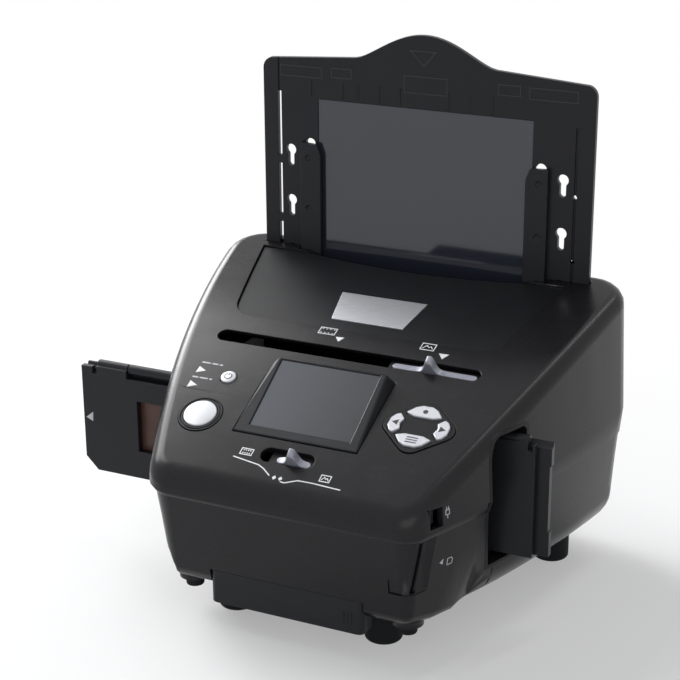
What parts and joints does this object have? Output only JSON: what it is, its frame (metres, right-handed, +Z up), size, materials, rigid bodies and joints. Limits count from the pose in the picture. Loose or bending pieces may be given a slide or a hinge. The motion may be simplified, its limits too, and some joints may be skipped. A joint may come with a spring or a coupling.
{
  "type": "film and photo scanner",
  "caption": "Wedge-shaped desktop scanner with a sloping control panel, a film holder sliding through its sides and a lift-out photo tray standing at the back.",
  "frame": {"origin": "middle of the body's footprint on the plane of the feet", "axes": "+X to the right of a person at the controls, +Y to the back, +Z up"},
  "size_m": [0.2417, 0.172, 0.2438],
  "materials": {
    "casing_black": "fine satin grain",
    "panel_black": "fine satin grain",
    "inner_black": "plain",
    "rubber_black": "soft",
    "plate_metal": "brushed along the width",
    "key_silver": "silver paint",
    "lever_silver": "silver paint",
    "light_lens": "clear white",
    "screen_glass": "clear, dark",
    "pane_glass": "deep blue gloss",
    "display_panel": "plain",
    "board_green": "solder mask",
    "socket_metal": "plated",
    "rod_steel": "ground",
    "screw_steel": "zinc plated",
    "film_brown": "negative film",
    "lamp_white": "opal white",
    "lens_glass": "coated"
  },
  "bodies": {
    "scanner_body": {"upper_casing": "casing_black", "lower_tub": "casing_black", "front_apron": "casing_black", "top_panel": "panel_black", "name_plate": "plate_metal", "lcd_bezel": "casing_black", "lcd_window": "screen_glass", "lcd_module": "display_panel", "scan_ring": "casing_black", "nav_bezel": "casing_black", "status_lights": "light_lens", "key_board_left": "board_green", "key_board_right": "board_green", "key_switches": "socket_metal", "main_board": "board_green", "port_board": "board_green", "card_socket": "socket_metal", "usb_socket": "socket_metal", "sensor_board": "board_green", "lens_mount": "inner_black", "film_port_left": "inner_black", "film_port_right": "inner_black", "film_channel": "inner_black", "light_rails": "rod_steel", "tray_rail_left": "inner_black", "tray_rail_right": "inner_black", "photo_lights": "lamp_white", "front_feet": "rubber_black", "middle_feet": "rubber_black", "rear_feet": "rubber_black", "case_screws": "screw_steel", "board_screws": "screw_steel", "slide_screws": "screw_steel"},
    "photo_tray": {"tray_frame": "panel_black", "tray_pane": "pane_glass"},
    "left_guide": {"photo_guide_left": "panel_black"},
    "right_guide": {"photo_guide_right": "panel_black"},
    "film_holder": {"holder_base": "casing_black", "holder_cover": "casing_black", "holder_pin": "rod_steel", "film_strip": "film_brown"},
    "light_unit": {"light_carriage": "lamp_white", "light_diffuser": "lamp_white", "light_board": "lamp_white", "mode_lever": "lever_silver"},
    "focus_control": {"focus_lever": "lever_silver", "focus_slide": "inner_black"},
    "lens": {"lens_barrel": "inner_black", "lens_glass": "lens_glass"},
    "scan_key": {"scan_button": "key_silver"},
    "power_key": {"power_button": "key_silver"},
    "top_key": {"key_top": "key_silver"},
    "bottom_key": {"key_bottom": "key_silver"},
    "left_key": {"key_left": "key_silver"},
    "right_key": {"key_right": "key_silver"}
  },
  "joints": [
    {"name": "tray_lift", "type": "slide", "parent": "scanner_body", "child": "photo_tray", "axis": [0, 0, 1], "range_m": [0, 0.15]},
    {"name": "left_guide_lift", "type": "slide", "parent": "photo_tray", "child": "left_guide", "axis": [0, 0, 1], "range_m": [0, 0.0066]},
    {"name": "right_guide_lift", "type": "slide", "parent": "photo_tray", "child": "right_guide", "axis": [0, 0, 1], "range_m": [0, 0.0066]},
    {"name": "holder_travel", "type": "slide", "parent": "scanner_body", "child": "film_holder", "axis": [1, 0, 0], "range_m": [-0.038, 0.076]},
    {"name": "light_travel", "type": "slide", "parent": "scanner_body", "child": "light_unit", "axis": [1, 0, 0], "range_m": [-0.0515, 0]},
    {"name": "lens_travel", "type": "slide", "parent": "scanner_body", "child": "lens", "axis": [0, 1, 0], "range_m": [0, 0.0025]},
    {"name": "focus_travel", "type": "slide", "parent": "scanner_body", "child": "focus_control", "axis": [1, 0, 0], "range_m": [-0.0075, 0]},
    {"name": "scan_press", "type": "slide", "parent": "scanner_body", "child": "scan_key", "axis": [0, 0.4224, -0.9064], "range_m": [0, 0.0006], "stiffness_N_per_m": 500, "springref_m": -0.0006},
    {"name": "power_press", "type": "slide", "parent": "scanner_body", "child": "power_key", "axis": [0, 0.3848, -0.923], "range_m": [0, 0.0006], "stiffness_N_per_m": 500, "springref_m": -0.0006},
    {"name": "top_press", "type": "slide", "parent": "scanner_body", "child": "top_key", "axis": [0, 0.3999, -0.9166], "range_m": [0, 0.0006], "stiffness_N_per_m": 500, "springref_m": -0.0006},
    {"name": "bottom_press", "type": "slide", "parent": "scanner_body", "child": "bottom_key", "axis": [0, 0.3999, -0.9166], "range_m": [0, 0.0006], "stiffness_N_per_m": 500, "springref_m": -0.0006},
    {"name": "left_press", "type": "slide", "parent": "scanner_body", "child": "left_key", "axis": [0, 0.3999, -0.9166], "range_m": [0, 0.0006], "stiffness_N_per_m": 500, "springref_m": -0.0006},
    {"name": "right_press", "type": "slide", "parent": "scanner_body", "child": "right_key", "axis": [0, 0.3999, -0.9166], "range_m": [0, 0.0006], "stiffness_N_per_m": 500, "springref_m": -0.0006}
  ],
  "couplings": [
    {"joint": "focus_travel", "follows": "lens_travel", "ratio": -3}
  ]
}
